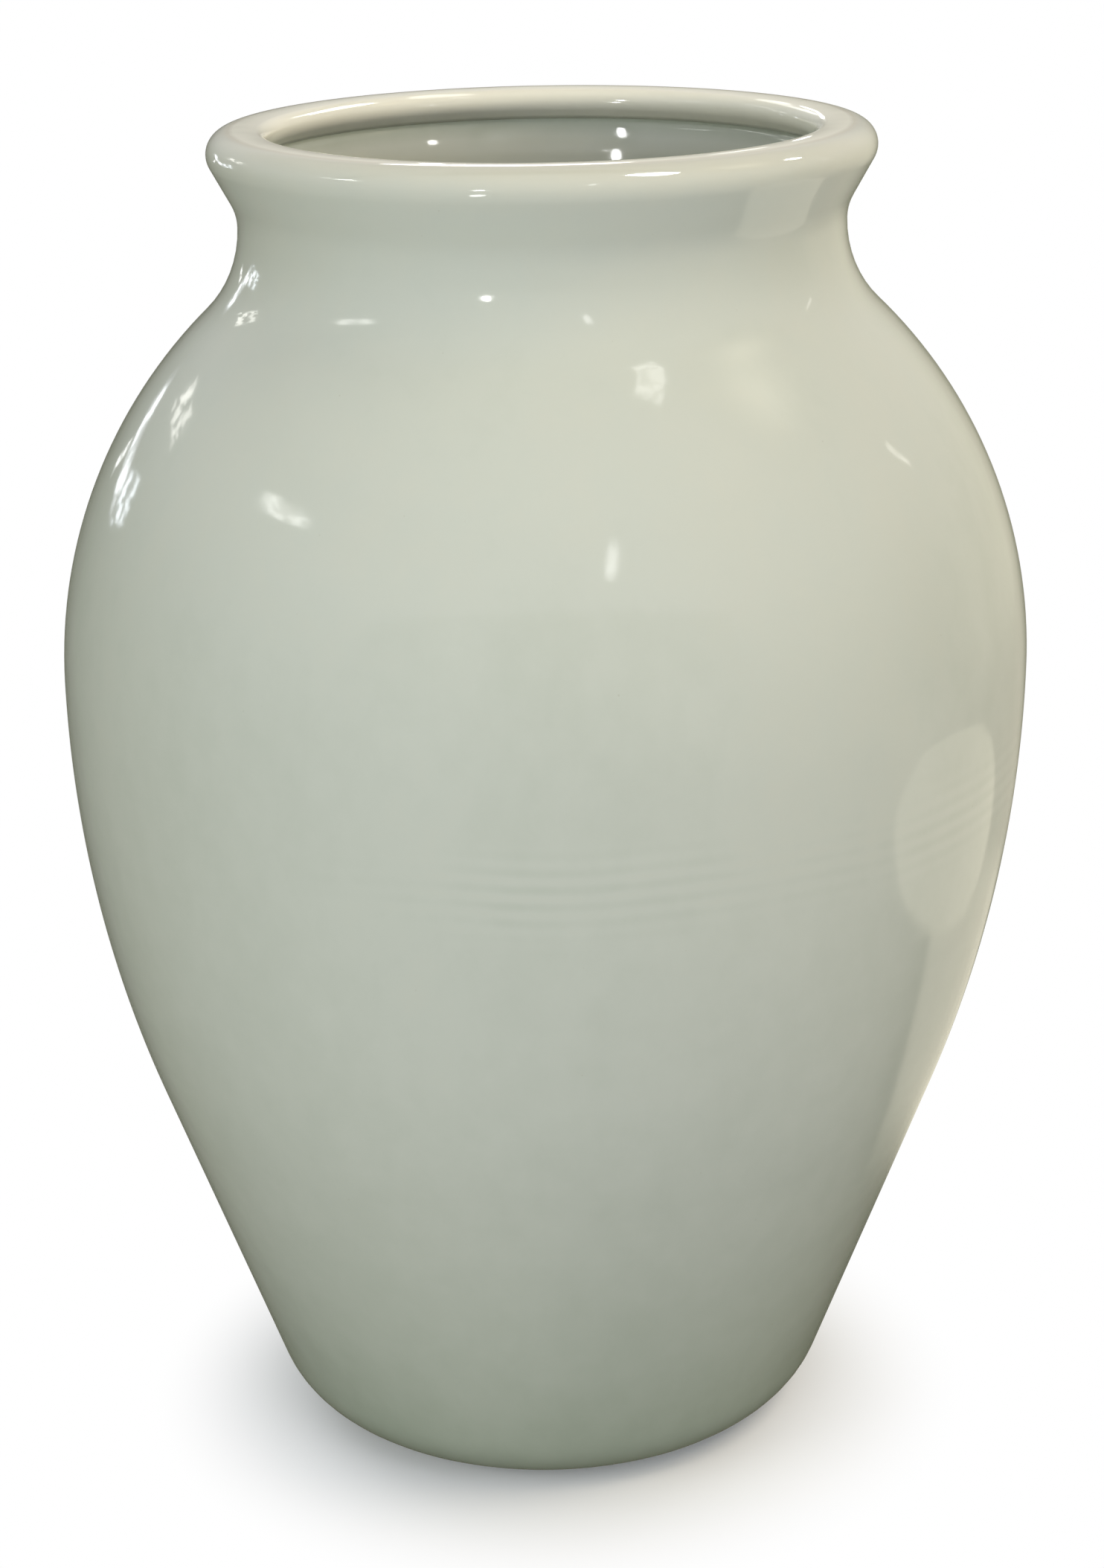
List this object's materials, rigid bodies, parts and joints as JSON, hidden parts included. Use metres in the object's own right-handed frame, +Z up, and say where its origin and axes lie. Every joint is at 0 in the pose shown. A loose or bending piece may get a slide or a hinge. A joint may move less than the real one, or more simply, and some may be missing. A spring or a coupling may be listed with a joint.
{
  "type": "vase",
  "caption": "Large wide-mouthed baluster vase with a high belly, a short hollow neck and a rolled lip, thrown in luted sections on a foot ring and glazed pale celadon.",
  "frame": {"origin": "centre of the foot ring's standing face", "axes": "+Z up along the axis that every piece is turned about, +X and +Y any two square directions"},
  "size_m": [0.3599, 0.36, 0.5],
  "materials": {
    "celadon_stoneware": "stoneware under a glossy pale grey-green celadon glaze",
    "bare_stoneware": "unglazed fired stoneware, matt buff",
    "luting_slip": "fired slip, matt"
  },
  "bodies": {
    "root": {"foot_ring": "bare_stoneware", "base_disc": "celadon_stoneware", "lower_body": "celadon_stoneware", "upper_body": "celadon_stoneware", "neck_collar": "celadon_stoneware", "rolled_rim": "celadon_stoneware", "disc_lute": "luting_slip", "foot_lute": "luting_slip", "waist_lute": "luting_slip", "neck_lute": "luting_slip", "rim_lute": "luting_slip"}
  },
  "joints": []
}
